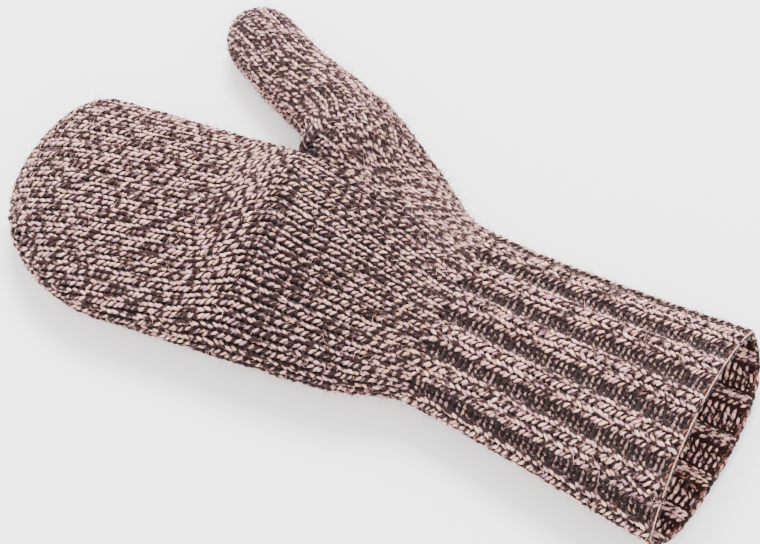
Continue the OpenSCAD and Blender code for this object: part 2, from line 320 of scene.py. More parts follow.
def plain(valley):
    """Knit stitches only: front, how high, no spread, and painted shade, with valleys between the wales."""

    def pattern(number):
        wale = np.cos(2 * math.pi * number)
        # Painted shade, strongest in the valleys between the wales and more the deeper the valley
        dark = (0.1 + valley) * (1 + wale)
        return np.ones_like(number), -WALE_HIGH * wale - valley, np.zeros_like(number), dark

    return pattern


SOFT_PLAIN, FIRM_PLAIN = plain(0.0), plain(0.08)


def ribbed(number):
    """Two knit and two purl stitches: front or back, how high, how they spread, and painted shade in the
    valleys.
    """
    turn = math.pi * number / 2
    lift = RIB_HIGH * np.cos(turn) - RIB_LOW
    front = np.clip(3.2 * np.cos(turn), -1, 1)
    return front, lift, RIB_SPREAD * np.sin(turn), RIB_VALLEY_SHADE * np.clip(-lift / 2, 0, 1)


def half_course(face, i, pattern, backwards, rng, thick):
    """The yarn of row i over one face: its points, normals, radii, depths and painted shade of its valleys
    and of the fork's crease.
    """
    marks = face.wales(i)
    if backwards:
        marks = marks[::-1]
    t = (np.arange(ALONG) * 2 * math.pi / ALONG)[None, :]
    a, b = marks[:-1, None], marks[1:, None]
    wide = b - a

    def vary(amount):
        return rng.normal(0, amount, wide.shape)

    unit = np.clip(1 / np.abs(wide), 0.6, 1.2)
    lean = RIB_LEAN if pattern is ribbed else LOOP_LEAN
    number = (a + wide * (t / (2 * math.pi) + lean * unit * np.sin(2 * t))).ravel()
    flat = (a + wide * t / (2 * math.pi)).ravel()
    edge = np.minimum(np.abs(flat - marks[0]), np.abs(flat - marks[-1]))
    hold = np.clip(edge, 0, 1)
    jitter = vary(RISE_VARIES)
    number = number + (vary(LEAN_VARIES) * np.sin(t / 2) ** 2).ravel()
    rho = (i + jitter * np.sin(t) - LOOP_RISE * np.cos(t)).ravel()
    front, lift, spread, valley_shade = pattern(number)
    number = number + spread
    f = hold * face.share(rho, number) + (1 - hold) * face.share(np.full_like(rho, i), number)
    p, n = face.at(rho, f)
    depth = (-LOOP_DEPTH * np.cos(2 * t) + 0 * wide).ravel() * front
    depth = depth + (vary(DEPTH_VARIES) * np.sin(t) ** 2).ravel()
    r = (thick / 2 * (1 + vary(THICKNESS_VARIES) + 0 * t)).ravel()
    return p + n * (depth + lift)[:, None], n, r, depth, valley_shade + FORK_SHADE * pinch(p)


def tube(strand, twist, start):
    """Points of a two-lobed tube along a strand, the length along it, and the painted shade of each point,
    more the deeper it lies.
    """
    p, n, r = strand["p"], strand["n"], strand["r"]
    h = strand.get("h", np.zeros(len(p)))
    # k is the painted shade of the valleys between wales and of the fork's crease
    k = strand.get("k", np.zeros(len(p)))
    if strand["closed"]:
        p, n, r, h, k = (np.concatenate([x, x[:1]]) for x in (p, n, r, h, k))
    d = np.gradient(p, axis=0)
    if strand["closed"]:
        d[0] = d[-1] = p[1] - p[-2]
    d /= np.linalg.norm(d, axis=1, keepdims=True) + 1e-9
    n = n - (n * d).sum(1, keepdims=True) * d
    n /= np.linalg.norm(n, axis=1, keepdims=True) + 1e-9
    b = np.cross(d, n)
    x = start + np.concatenate([[0], np.cumsum(np.linalg.norm(np.diff(p, axis=0), axis=1))])
    turn = np.arange(SIDES) / SIDES
    lobe = 1 + LOBE * np.cos(4 * math.pi * (turn[None, :] + x[:, None] / twist))
    ang = 2 * math.pi * turn[None, :]
    v = p[:, None] + (r[:, None] * lobe)[..., None] * (
        np.cos(ang)[..., None] * n[:, None] + np.sin(ang)[..., None] * b[:, None]
    )
    # Painted shade: 0 at one of the fabric's two faces and 1 inside it, where other loops would shade the
    # yarn, an even 0.2 on strands with no depths, and more in the valleys
    out = h[:, None] + r[:, None] * np.cos(ang)
    reach = LOOP_DEPTH + r[:, None]
    deep = np.clip(1 - np.abs(out) / reach, 0, 1) if "h" in strand else 0.2 + 0 * out
    deep = np.clip(deep + k[:, None] * smooth(out, -0.6, 0.8), 0, 1)
    return v, x, deep


# --- Meshes ---

# Bands of the colour map: yarn fills it up to the first value, then the sheets, then the loose fibres
YARN_BAND, SHEET_BAND, FIBRE_BAND = 0.9, (0.905, 0.065, 0.06), (0.975, 0.025)
# Rings of yarn in one strip of the map
STRIP = 192


def corners(u0, v0, u1, v1):
    """The four corners of rectangles on a map, in the order of a quad's vertices."""
    pairs = ((u0, v0), (u1, v0), (u1, v1), (u0, v1))
    return np.stack([np.stack(np.broadcast_arrays(u, v), -1) for u, v in pairs], -2)


def lattice(rows, cols, closed):
    """Quads over a lattice of points, closed across or open."""
    i = np.arange(rows - 1)[:, None]
    j = np.arange(cols if closed else cols - 1)[None, :]
    k = (j + 1) % cols
    q = [i * cols + j, (i + 1) * cols + j, (i + 1) * cols + k, i * cols + k]
    return np.stack(q, -1).reshape(-1, 4)


def yarn_map(rings):
    """Room on the colour map for rings of quads, as strips that fill the yarn's band."""
    k = np.arange(rings)
    strips = max(1, math.ceil(rings / STRIP))
    u0 = (k % STRIP / STRIP)[:, None]
    dv = YARN_BAND / (strips * SIDES)
    v0 = ((k // STRIP)[:, None] * SIDES + np.arange(SIDES)[None, :]) * dv
    return corners(u0, v0, u0 + 1 / STRIP, v0 + dv).reshape(-1, 4, 2)


def sheet_map(k, count, rows, cols):
    """Room on the colour map for sheet k of count."""
    start, room, high = SHEET_BAND
    u = np.arange(rows)[:, None] / (rows - 1)
    v = start + room * k / count + high / count * np.arange(cols)[None, :] / (cols - 1)
    return corners(u[:-1], v[:, :-1], u[1:], v[:, 1:]).reshape(-1, 4, 2)


def fibre_map(count):
    """Room on the colour map for the loose fibres' quads."""
    start, room = FIBRE_BAND
    across_map = math.ceil(math.sqrt(count / room))
    up = math.ceil(count / across_map)
    k = np.arange(count)
    u0 = (k % across_map) / across_map
    v0 = start + room * (k // across_map) / up
    return corners(u0, v0, u0 + 1 / across_map, v0 + room / up)


# Loose fibres: half their width, the length of the shortest and the longest, and what share tapers off
FIBRE_HALF, FIBRE_SHORT, FIBRE_LONG, FIBRE_TAPER = 0.11, 0.9, 3.2, 0.75
FIBRE_QUADS = 3
# How far a fibre leans to one side, least and most, how much it bends and how deep it is rooted
FIBRE_LEAN, FIBRE_BEND, FIBRE_ROOT = (0.3, 1.3), 0.45, 0.25


def loose_fibres(points, normals, count, rng):
    """Loose fibres that stand off the yarn, as thin tapered ribbons."""
    pick = rng.integers(0, len(points), count)
    p, n = points[pick], normals[pick]
    side = np.cross(n, rng.normal(size=(count, 3)))
    side /= np.linalg.norm(side, axis=1, keepdims=True)
    lean = rng.uniform(*FIBRE_LEAN, (count, 1))
    d = n + side * lean
    d /= np.linalg.norm(d, axis=1, keepdims=True)
    bend = rng.normal(0, FIBRE_BEND, (count, 3))
    flat = np.cross(d, n)
    flat /= np.linalg.norm(flat, axis=1, keepdims=True)
    length = rng.uniform(FIBRE_SHORT, FIBRE_LONG, (count, 1))
    rings = []
    for k in range(FIBRE_QUADS + 1):
        t = k / FIBRE_QUADS
        at = p - n * FIBRE_ROOT + length * (d * t + bend * t * t)
        w = FIBRE_HALF * (1 - FIBRE_TAPER * t)
        rings.append(np.stack([at - flat * w, at + flat * w], 1))
    out = np.stack(rings, 1)
    out[..., 2] = np.maximum(out[..., 2], FLOOR * 1000)
    return out


def mesh_object(name, points, quads, maps, deep, sheet_quads, materials):
    """An object from arrays of points and quads; sheet_quads have the second material."""
    mesh = bpy.data.meshes.new(name)
    mesh.vertices.add(len(points))
    mesh.vertices.foreach_set("co", points.astype(np.float32).ravel())
    mesh.loops.add(len(quads) * 4)
    mesh.loops.foreach_set("vertex_index", quads.astype(np.int32).ravel())
    mesh.polygons.add(len(quads))
    mesh.polygons.foreach_set("loop_start", np.arange(0, len(quads) * 4, 4, dtype=np.int32))
    mesh.polygons.foreach_set("use_smooth", np.ones(len(quads), bool))
    which = np.zeros(len(quads), np.int32)
    which[sheet_quads] = 1
    mesh.polygons.foreach_set("material_index", which)
    for title, data in maps.items():
        layer = mesh.uv_layers.new(name=title)
        layer.data.foreach_set("uv", np.concatenate(data).astype(np.float32).ravel())
    # The painted shade of each point, read by the wool material
    layer = mesh.attributes.new("deep", "FLOAT", "POINT")
    layer.data.foreach_set("value", deep.astype(np.float32))
    mesh.update(calc_edges=True)
    for m in materials:
        mesh.materials.append(m)
    obj = bpy.data.objects.new(name, mesh)
    bpy.context.scene.collection.objects.link(obj)
    return obj


def knit_object(name, strands, sheets, materials, twist, rng, fibres=0):
    """One mesh of yarn strands, the dark sheets between their loops, which stand in for fibre haze and
    paint the shade of the gaps, and the loose fibres on them.
    """
    points, quads, deep, outer = [], [], [], []
    bake, yarn = [], []
    count = 0

    def add(p, q, depth):
        nonlocal count
        points.append(p.reshape(-1, 3))
        quads.append(q + count)
        deep.append(depth.ravel())
        count += len(points[-1])

    for strand in strands:
        # depth is each point's painted shade from tube; the least shaded points give the loose fibres their
        # roots
        v, x, depth = tube(strand, twist, rng.uniform(0, 500))
        shown = depth[:-1, 0] < 0.25
        outer.append(np.concatenate([v[:-1, 0], strand["n"][: len(v) - 1]], 1)[shown])
        add(v, lattice(len(x), SIDES, True), depth)
        y = np.arange(SIDES)[None, :] / SIDES
        yarn.append(corners(x[:-1, None], y, x[1:, None], y + 1 / SIDES).reshape(-1, 4, 2))
    yarn_quads = sum(len(q) for q in quads)
    bake.append(yarn_map(yarn_quads // SIDES))
    for k, sheet in enumerate(sheets):
        rows, cols = sheet.shape[:2]
        add(sheet, lattice(rows, cols, False), np.ones(rows * cols))
        room = sheet_map(k, len(sheets), rows, cols)
        bake.append(room)
        yarn.append(room)
    sheet_quads = slice(yarn_quads, sum(len(q) for q in quads))
    if fibres:
        o = np.concatenate(outer)
        g = loose_fibres(o[:, :3], o[:, 3:], fibres, rng)
        rings = FIBRE_QUADS + 1
        k = np.arange(fibres)[:, None] * rings * 2
        j = np.arange(FIBRE_QUADS)[None, :] * 2
        q = np.stack([k + j, k + j + 1, k + j + 3, k + j + 2], -1).reshape(-1, 4)
        # Each loose fibre gets an even painted shade, random up to half
        add(g, q, np.repeat(rng.uniform(0, 0.5, fibres), rings * 2))
        bake.append(fibre_map(len(q)))
        tone = np.repeat(rng.uniform(0, 500, fibres), FIBRE_QUADS)
        yarn.append(np.broadcast_to(np.stack([tone, tone * 7], -1)[:, None], (len(q), 4, 2)))
    points, quads, deep = (np.concatenate(x) for x in (points, quads, deep))
    maps = {"OFBake": bake, "yarn": yarn}
    return mesh_object(name, (points - CENTRE) * 0.001, quads, maps, deep, sheet_quads, materials)


# --- Sections of the fabric ---

TOP = np.radians(np.linspace(0, 180, 181))


def cuff_section(rho, side):
    """One face of the cuff across row rho, whose rows bow more and more towards the open end."""
    a = side * TOP
    near = (np.clip(-rho, 0, None) / CUFF_ROWS) ** 2
    if side > 0:
        lean = MOUTH_BACK * np.sin(a) ** 2
    else:
        lean = MOUTH_OUT * np.sin(a) * (1 + MOUTH_UNEVEN * np.cos(a))
    short = lean + MOUTH_SKEW * (1 + np.cos(a)) / 2 + MOUTH_SHORT
    return hand_point(rho * ROW + near * short, a)


def divide(rho):
    """Angle on the hand's section where the hand's wales and the gusset's wales part."""
    start = math.cos(GUSSET_FROM)
    share = np.clip(rho / PALM_ROWS, 0, 1)
    return math.acos(min(1.0, start + (1 - start) * share))


def palm_section(rho, side):
    """The same of the palm, from the dividing line to the little finger's side."""
    a = np.linspace(divide(rho), math.pi, len(TOP))
    return hand_point(rho * ROW, side * a)


def gusset_section(rho, side):
    """A curve from the gusset's outer edge to the dividing line, rounder the nearer the thumb's root."""
    if rho >= PALM_ROWS:
        return thumb_point(THUMB_ROOT_AT + (rho - PALM_ROWS) * ROW, side * TOP)
    s = rho * ROW
    a = divide(rho)
    share = rho / PALM_ROWS
    late = float(smooth(share, GUSSET_STANDS, 1.0))
    d = hand_point(s, a)
    ahead = hand_point(s, a - 0.03) - d
    ahead /= np.linalg.norm(ahead)
    if share < 0:
        o = hand_point(s, 0.0)
    else:
        t = np.array(GUSSET_EDGE)
        o = np.array([curve(share, t[:, :2]), curve(share, t[:, [0, 2]]), 0.0])
    zh = MID_SHARE * float(curve(s, HEIGHTS))
    zt = thumb_point(THUMB_ROOT_AT, 0.0)[2]
    o[2] = zh + (zt - zh) * late
    # Handles of a cubic curve from o to d; four thirds of the height brings its top to that height
    high = ((1 - MID_SHARE) * GUSSET_HIGH - INSET) * 4 / 3
    far = np.linalg.norm((o - d)[:2])
    t0 = ahead * (1 - late) + np.array([0, 0, 1.0]) * late
    t0 /= np.linalg.norm(t0)
    p1 = d + t0 * (0.5 * far * (1 - late) + high * late)
    p2 = o + np.array([0, 0, 0.56 * (d[2] - o[2]) * (1 - late) + high * late])
    u = np.linspace(0, 1, len(TOP))[:, None]
    p = o * (1 - u) ** 3 + 3 * p2 * u * (1 - u) ** 2 + 3 * p1 * u * u * (1 - u) + d * u**3
    if side < 0:
        mid = o[2] + (zh - o[2]) * u[:, 0] ** 2
        p[:, 2] = 2 * mid - p[:, 2]
    return p


def build_runs():
    """The five runs of fabric: their two faces, whether they go all the way round, and their stitches."""
    finger_long, finger_place = places(hand_point, CROTCH_AT, HAND_LEN - INSET - TIP_GAP)
    finger_rows = round(finger_long / ROW)
    thumb_long, thumb_place = places(thumb_point, THUMB_ROOT_AT, THUMB_END - INSET - TIP_GAP)
    thumb_rows = round(thumb_long / ROW)

    def finger_section(rho, side):
        k = (rho - PALM_ROWS) / finger_rows
        s = finger_place(k) if k >= 0 else rho * ROW
        return hand_point(s, side * TOP)

    def thumb_section(rho, side):
        k = (rho - PALM_ROWS) / thumb_rows
        s = thumb_place(k) if k >= 0 else THUMB_ROOT_AT + (rho - PALM_ROWS) * ROW
        return thumb_point(s, side * TOP)

    def even(count):
        return lambda rho, length: (0 * rho, 1, length / count)

    def growing(rho, length):
        grown = smooth(rho, 0.5 * PALM_ROWS, PALM_ROWS)
        return 0 * rho, 1, length / (GUSSET_STITCHES + (THUMB_STITCHES - GUSSET_STITCHES) * grown)

    def finger_wales(rho, length):
        """Wales keep their distance from the hand's middle, and drift to the little finger's side."""
        added = smooth(rho, PALM_ROWS, PALM_ROWS + ADDED_ROWS)
        count = HAND_STITCHES + (FINGER_STITCHES - HAND_STITCHES) * added
        full = length[np.argmin(np.abs(rho - PALM_ROWS - FULL_ROWS))]
        past = finger_place((rho - PALM_ROWS) / finger_rows)
        place = np.where(rho > PALM_ROWS, past, rho * ROW)
        half = []
        for s in place:
            p = hand_point(s, TOP)
            d = np.linalg.norm(np.diff(p, axis=0), axis=1)
            half.append(d[: len(TOP) // 2].sum())
        drift = WALE_DRIFT * np.clip(place - CROTCH_AT - DRIFT_FROM, 0, None)
        half = np.array(half)
        base = half + (full / 2) + drift
        base = np.where(rho < PALM_ROWS + MIDDLE_ROWS, length + drift, base)
        return base, -1, full / count

    def thumb_wales(rho, length):
        width = np.maximum(length / THUMB_STITCHES, THUMB_LEAST)
        return length / 2 - width * THUMB_STITCHES / 2, 1, width

    def run(first, last, section, reference, closed=True, pattern=FIRM_PLAIN):
        faces = [Face(first, last, section, side, reference) for side in (1, -1)]
        return {"faces": faces, "closed": closed, "pattern": pattern}

    top_row, finger_end, thumb_end = PALM_ROWS + 1, PALM_ROWS + finger_rows, PALM_ROWS + thumb_rows
    return {
        "cuff": run(-CUFF_ROWS - 1, 1, cuff_section, even(RIB_STITCHES), pattern=ribbed),
        "palm": run(-1, top_row, palm_section, even(HAND_STITCHES), closed=False),
        "gusset": run(-1, top_row, gusset_section, growing, closed=False),
        "fingers": run(PALM_ROWS - 1, finger_end, finger_section, finger_wales, pattern=SOFT_PLAIN),
        "thumb": run(PALM_ROWS - 1, thumb_end, thumb_section, thumb_wales),
        "finger_rows": finger_rows,
        "thumb_rows": thumb_rows,
    }


_runs = {}


def runs():
    """The runs of fabric, worked out once."""
    if not _runs:
        _runs.update(build_runs())
    return _runs


def strands_of(key, rows, thick, seed):
    """The yarn of some rows of a run."""
    run = runs()[key]
    rng = np.random.default_rng(seed)
    top, low = run["faces"]
    # A closed row and a gusset's row start at the far end of the upper face. A palm's row goes from the
    # dividing line over the top, round the edge and back below
    flip = run["closed"] or key == "gusset"
    out = []
    for i in rows:
        stretches = [
            half_course(top, i, run["pattern"], flip, rng, thick),
            half_course(low, i, run["pattern"], not flip, rng, thick),
        ]
        if not run["closed"]:
            p, n = low.at(np.array([i - LOOP_RISE]), np.array([1.0 if flip else 0.0]))
            end = (p - n * LOOP_DEPTH, n, np.array([thick / 2]), np.array([-LOOP_DEPTH]), np.array([0.0]))
            stretches.append(end)
        p, n, r, h, k = (np.concatenate(x) for x in zip(*stretches))
        # k is the painted shade of the valleys and of the fork's crease
        out.append({"p": p, "n": n, "r": r, "h": h, "k": k, "closed": run["closed"]})
    return out


def sheets_of(key, rows):
    """Dark sheets behind some rows of a run, one to each face: fibre haze between the loops, coloured as
    painted shade of the gaps.
    """
    out = []
    for face in runs()[key]["faces"]:
        rho = np.arange(rows[0] - 0.5, rows[-1] + 0.51, 0.5)
        f = np.linspace(0, 1, 61)
        p, n = face.at(np.repeat(rho[:, None], len(f), 1), np.repeat(f[None, :], len(rho), 0))
        lift = ribbed(f * RIB_STITCHES)[1] if key == "cuff" else np.zeros_like(f)
        out.append(p + n * (SHEET_DEPTH + lift[None, :, None]))
    return out


# --- Materials ---


def math_node(tree, operation, a, b=None, clamp=False):
    node = tree.nodes.new("ShaderNodeMath")
    node.operation = operation
    node.use_clamp = clamp
    for k, x in enumerate((a, b)):
        if isinstance(x, (int, float)):
            node.inputs[k].default_value = x
        elif x is not None:
            tree.links.new(x, node.inputs[k])
    return node.outputs[0]


def noise(tree, vector, scale, detail=2.0, roughness=0.5):
    node = tree.nodes.new("ShaderNodeTexNoise")
    node.inputs["Scale"].default_value = scale
    node.inputs["Detail"].default_value = detail
    node.inputs["Roughness"].default_value = roughness
    tree.links.new(vector, node.inputs["Vector"])
    return node.outputs["Fac"]


def combine(tree, x, y):
    node = tree.nodes.new("ShaderNodeCombineXYZ")
    for k, v in enumerate((x, y)):
        if isinstance(v, (int, float)):
            node.inputs[k].default_value = v
        else:
            tree.links.new(v, node.inputs[k])
    return node.outputs[0]


def mix(tree, factor, a, b, blend="MIX"):
    node = tree.nodes.new("ShaderNodeMix")
    node.data_type = "RGBA"
    node.blend_type = blend
    if isinstance(factor, float):
        node.inputs[0].default_value = factor
    else:
        tree.links.new(factor, node.inputs[0])
    tree.links.new(a, node.inputs[6])
    tree.links.new(b, node.inputs[7])
    return node.outputs[2]


def ramp(tree, factor, stops):
    node = tree.nodes.new("ShaderNodeValToRGB")
    e = node.color_ramp.elements
    while len(e) < len(stops):
        e.new(0.5)
    for el, (at, colour) in zip(e, stops):
        el.position = at
        el.color = (*linear(colour), 1)
    tree.links.new(factor, node.inputs[0])
    return node.outputs[0]


def linear(c):
    """A screen colour as linear light."""
    return tuple(x / 12.92 if x <= 0.04045 else ((x + 0.055) / 1.055) ** 2.4 for x in c)


# Tints of the light ply: mauve, rose, pale rose, cream and tan
TINTS = [
    (0.36, (0.71, 0.54, 0.63)),
    (0.44, (0.88, 0.66, 0.64)),
    (0.5, (0.93, 0.76, 0.71)),
    (0.56, (0.95, 0.83, 0.76)),
    (0.64, (0.84, 0.66, 0.54)),
]
# The dark sheets between the loops, painted shade of the gaps, from their darkest tone to their lightest
HAZE_SHADE_TONES = [(0.3, (0.07, 0.035, 0.035)), (0.6, (0.19, 0.12, 0.115)), (0.75, (0.36, 0.25, 0.24))]


def marl_group():
    """Two plies twisted together, light and dark, with fibres along them, and painted shade where the yarn
    lies deep.
    """
    tree = bpy.data.node_groups.new("Marled yarn", "ShaderNodeTree")
    for title, kind, default in (
        ("Yarn", "Vector", None),
        ("Twist", "Float", 6.0),
        ("Light Share", "Float", 0.25),
        ("Deep", "Float", 0.0),
        ("Light", "Color", (0.7, 0.5, 0.45, 1)),
        ("Dark", "Color", (0.03, 0.015, 0.015, 1)),
    ):
        socket = tree.interface.new_socket(title, in_out="INPUT", socket_type="NodeSocket" + kind)
        if default is not None:
            socket.default_value = default
    for title, kind in (("Color", "Color"), ("Height", "Float")):
        tree.interface.new_socket(title, in_out="OUTPUT", socket_type="NodeSocket" + kind)
    given = tree.nodes.new("NodeGroupInput").outputs
    result = tree.nodes.new("NodeGroupOutput").inputs

    def op(operation, a, b=None, clamp=False):
        return math_node(tree, operation, a, b, clamp)

    def swing(value, gain):
        """A noise's value as a swing round nothing."""
        return op("MULTIPLY", op("SUBTRACT", value, 0.5), gain)

    apart = tree.nodes.new("ShaderNodeSeparateXYZ")
    tree.links.new(given["Yarn"], apart.inputs[0])
    x, y = apart.outputs[0], apart.outputs[1]
    # The plies go round with the twist, not quite evenly
    wander = swing(noise(tree, combine(tree, x, 0.0), 0.09), 1.6)
    phase = op("ADD", op("ADD", y, op("DIVIDE", x, given["Twist"])), wander)
    wave = op("SINE", op("MULTIPLY", phase, 2 * math.pi))
    streak_at = combine(tree, op("MULTIPLY", x, 0.9), op("MULTIPLY", phase, 14.0))
    streak = noise(tree, streak_at, 1.0, 3.0, 0.6)
    patch = noise(tree, combine(tree, x, 7.0), 0.33)
    # Painted shade lowers the light ply's share where the yarn lies deep
    level = op("SUBTRACT", wave, op("MULTIPLY", given["Deep"], 2.0))
    level = op("ADD", level, given["Light Share"])
    level = op("ADD", level, swing(patch, 1.5))
    level = op("ADD", level, swing(streak, 2.4))
    light_here = op("ADD", op("MULTIPLY", level, 0.85), 0.42, clamp=True)
    tint = ramp(tree, noise(tree, combine(tree, x, 31.0), 0.4, 3.0), TINTS)
    light = mix(tree, 1.0, tint, given["Light"], "MULTIPLY")
    plies = mix(tree, light_here, given["Dark"], light)
    # Painted shade: the colour is multiplied towards the dark ply where the yarn lies deep
    colour = mix(tree, op("MULTIPLY", given["Deep"], 0.9), plies, given["Dark"], "MULTIPLY")
    tree.links.new(colour, result["Color"])
    tree.links.new(streak, result["Height"])
    return tree


def matte_material(name, roughness, specular):
    """A new material, with its node tree and its shader."""
    mat = bpy.data.materials.new(name)
    mat.use_nodes = True
    bsdf = mat.node_tree.nodes["Principled BSDF"]
    bsdf.inputs["Roughness"].default_value = roughness
    bsdf.inputs["Specular IOR Level"].default_value = specular
    return mat, mat.node_tree, bsdf


def wool_material(name, light, dark, share, twist):
    """Marled yarn: tint of its light ply, screen colour of its dark ply, share of light and twist."""
    mat, tree, bsdf = matte_material(name, 0.9, 0.15)
    bsdf.inputs["Sheen Weight"].default_value = 0.12
    bsdf.inputs["Sheen Roughness"].default_value = 0.6
    uv = tree.nodes.new("ShaderNodeUVMap")
    uv.uv_map = "yarn"
    g = tree.nodes.new("ShaderNodeGroup")
    g.node_tree = bpy.data.node_groups.get("Marled yarn") or marl_group()
    tree.links.new(uv.outputs[0], g.inputs["Yarn"])
    # Painted shade from the mesh, darkening the yarn where it lies deep in the fabric
    deep = tree.nodes.new("ShaderNodeAttribute")
    deep.attribute_name = "deep"
    tree.links.new(deep.outputs["Fac"], g.inputs["Deep"])
    g.inputs["Twist"].default_value = twist
    g.inputs["Light Share"].default_value = share
    g.inputs["Light"].default_value = (*light, 1)
    g.inputs["Dark"].default_value = (*linear(dark), 1)
    tree.links.new(g.outputs["Color"], bsdf.inputs["Base Color"])
    bump = tree.nodes.new("ShaderNodeBump")
    bump.inputs["Strength"].default_value = 0.5
    bump.inputs["Distance"].default_value = 0.0003
    tree.links.new(g.outputs["Height"], bump.inputs["Height"])
    tree.links.new(bump.outputs[0], bsdf.inputs["Normal"])
    return mat


def fibre_material(name):
    """The dark sheet seen between the loops: it stands in for fibre haze, coloured near-black as painted
    shade of the gaps.
    """
    mat, tree, bsdf = matte_material(name, 1.0, 0.05)
    place = tree.nodes.new("ShaderNodeTexCoord")
    tone = noise(tree, place.outputs["Object"], 900.0, 3.0, 0.7)
    tree.links.new(ramp(tree, tone, HAZE_SHADE_TONES), bsdf.inputs["Base Color"])
    return mat


_materials = {}


def materials():
    """The four materials, made once."""
    if not _materials:
        for key, name, light, dark, share, twist in (
            ("wool", "marled_wool", (1.24, 1.12, 1.14), (0.2, 0.082, 0.085), 0.48, PLY_TWIST),
            ("edge", "edge_wool", (0.5, 0.3, 0.26), (0.2, 0.08, 0.075), -0.2, PLY_TWIST),
            ("thread", "pale_thread", (1.1, 1.02, 1.0), (0.55, 0.42, 0.4), 1.0, THREAD_TWIST),
        ):
            _materials[key] = wool_material(name, light, dark, share, twist)
        _materials["fibre"] = fibre_material("matted_fibre")
    return _materials


# --- Pieces and their bodies ---

# Rows at which the cuff, the hand and the fingers are split into pieces
END_ROWS, WRIST_ROWS, HEEL_ROWS, FINGER_BEND_ROWS = 16, 14, 16, 22
# Twists of the cast-on cord, of the darned-in yarn ends and of the fine thread
CORD_TWIST, END_TWIST, THREAD_TWIST = 7.0, 6.5, 1.2
# Turns of the cord's two strands round the open end, one to a stitch, and the points to a turn
CORD_TURNS, CORD_STEPS = 48, 12
# Rows past the first one at which the cord and the thread lie, and how far out the thread lies
CORD_AT, THREAD_AT, THREAD_OUT = 0.55, 1.0, 0.75
# Points of the thread, and how far it waves in and out
THREAD_POINTS, THREAD_WAVE = 400, 0.12
# A darned-in end: how deep it lies, how far it goes in and out, and its radius along it and at its tips
DARN_DEEP, DARN_WAVE, DARN_RADII = 1.9, 0.45, (0.85, 0.3)
# A gather's half width and half height: at its start, and how much is lost on the way to its end
GATHER_WIDE, GATHER_TALL = (2.4, 1.2), (1.3, 0.6)
# How far past the last row a gather starts, how far it comes forward, and its radii as above
GATHER_AT, GATHER_FORWARD, GATHER_RADII = 0.3, 0.5, (0.8, 0.35)


def wrist_bend(obj):
    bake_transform(obj)


def knuckle_bend(obj):
    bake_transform(obj)


def thumb_bend(obj):
    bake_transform(obj)


def rides(body):
    """Puts a piece on a body as it is, where it crosses no fold."""
    return lambda obj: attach(obj, body)


def knit_piece(name, key, rows, seed, nodes, place):
    """Some rows of a run as one piece, which stands for the named nodes."""
    m = materials()
    settings = bpy.context.scene.mitten_settings
    strands = strands_of(key, rows, settings.yarn_thickness * 1000, seed)
    rng = np.random.default_rng(seed)
    looks = [m["wool"], m["fibre"]]
    obj = knit_object(name, strands, sheets_of(key, rows), looks, PLY_TWIST, rng, settings.loose_fibres)
    place(obj)
    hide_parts(*nodes)


def plain_piece(name, strands, look, twist, rng, node, place):
    """Strands of yarn or thread as one piece, which stands for one node."""
    obj = knit_object(name, strands, [], [materials()[look]], twist, rng)
    place(obj)
    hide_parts(node)


def even_loop(points, count):
    """Points spread evenly along a closed line."""
    p = np.concatenate([points, points[:1]])
    d = np.concatenate([[0], np.cumsum(np.linalg.norm(np.diff(p, axis=0), axis=1))])
    u = np.linspace(0, d[-1], count, endpoint=False)
    return np.stack([np.interp(u, d, p[:, k]) for k in range(3)], -1)


def rim(extra, depth, count):
    """A line round the open end with its normals, extra rows beyond the first one."""
    top, low = runs()["cuff"]["faces"]
    f = np.linspace(0, 1, 97)
    rho = np.full(len(f), -CUFF_ROWS - extra)
    a = top.at(rho, f[::-1])
    b = low.at(rho, f)
    p, n = (np.concatenate([a[k][:-1], b[k][:-1]]) for k in (0, 1))
    return even_loop(p + n * depth, count), even_loop(n, count)


def radii(count, along, tip):
    """Radii of an open strand: even along it, and thinner at its first and its last point."""
    r = np.full(count, along)
    r[[0, -1]] = tip
    return r


def woven_end(name, key, first, last, f, node, place, seed):
    """A yarn end darned along the inside of the lower layer."""
    low = runs()[key]["faces"][1]
    u = np.linspace(0, 1, 90)
    p, n = low.at(first + (last - first) * u, f + 0.012 * np.sin(u * 11 + seed))
    over = np.sin(u * math.pi * abs(last - first) / 1.5)
    p = p - n * (DARN_DEEP + DARN_WAVE * over)[:, None]
    r = radii(len(u), *DARN_RADII)
    strand = {"p": p, "n": n, "r": r, "closed": False}
    plain_piece(name, [strand], "edge", END_TWIST, np.random.default_rng(seed), node, place)


def gather(name, point, line, side, node, body, seed):
    """The yarn drawn through the last stitches at a tip, wound once and a half round."""
    u = np.linspace(0, 1, 60)
    turn = u * 3 * math.pi
    high = np.array([0, 0, 1.0])
    wide, tall = (start - lost * u for start, lost in (GATHER_WIDE, GATHER_TALL))
    p = point + (np.cos(turn) * wide)[:, None] * side + (np.sin(turn) * tall)[:, None] * high
    p = p + (GATHER_AT + GATHER_FORWARD * u)[:, None] * line
    r = radii(len(u), *GATHER_RADII)
    strand = {"p": p, "n": np.broadcast_to(line, p.shape), "r": r, "closed": False}
    rng = np.random.default_rng(seed)
    plain_piece(name, [strand], "edge", END_TWIST, rng, node, rides(body))


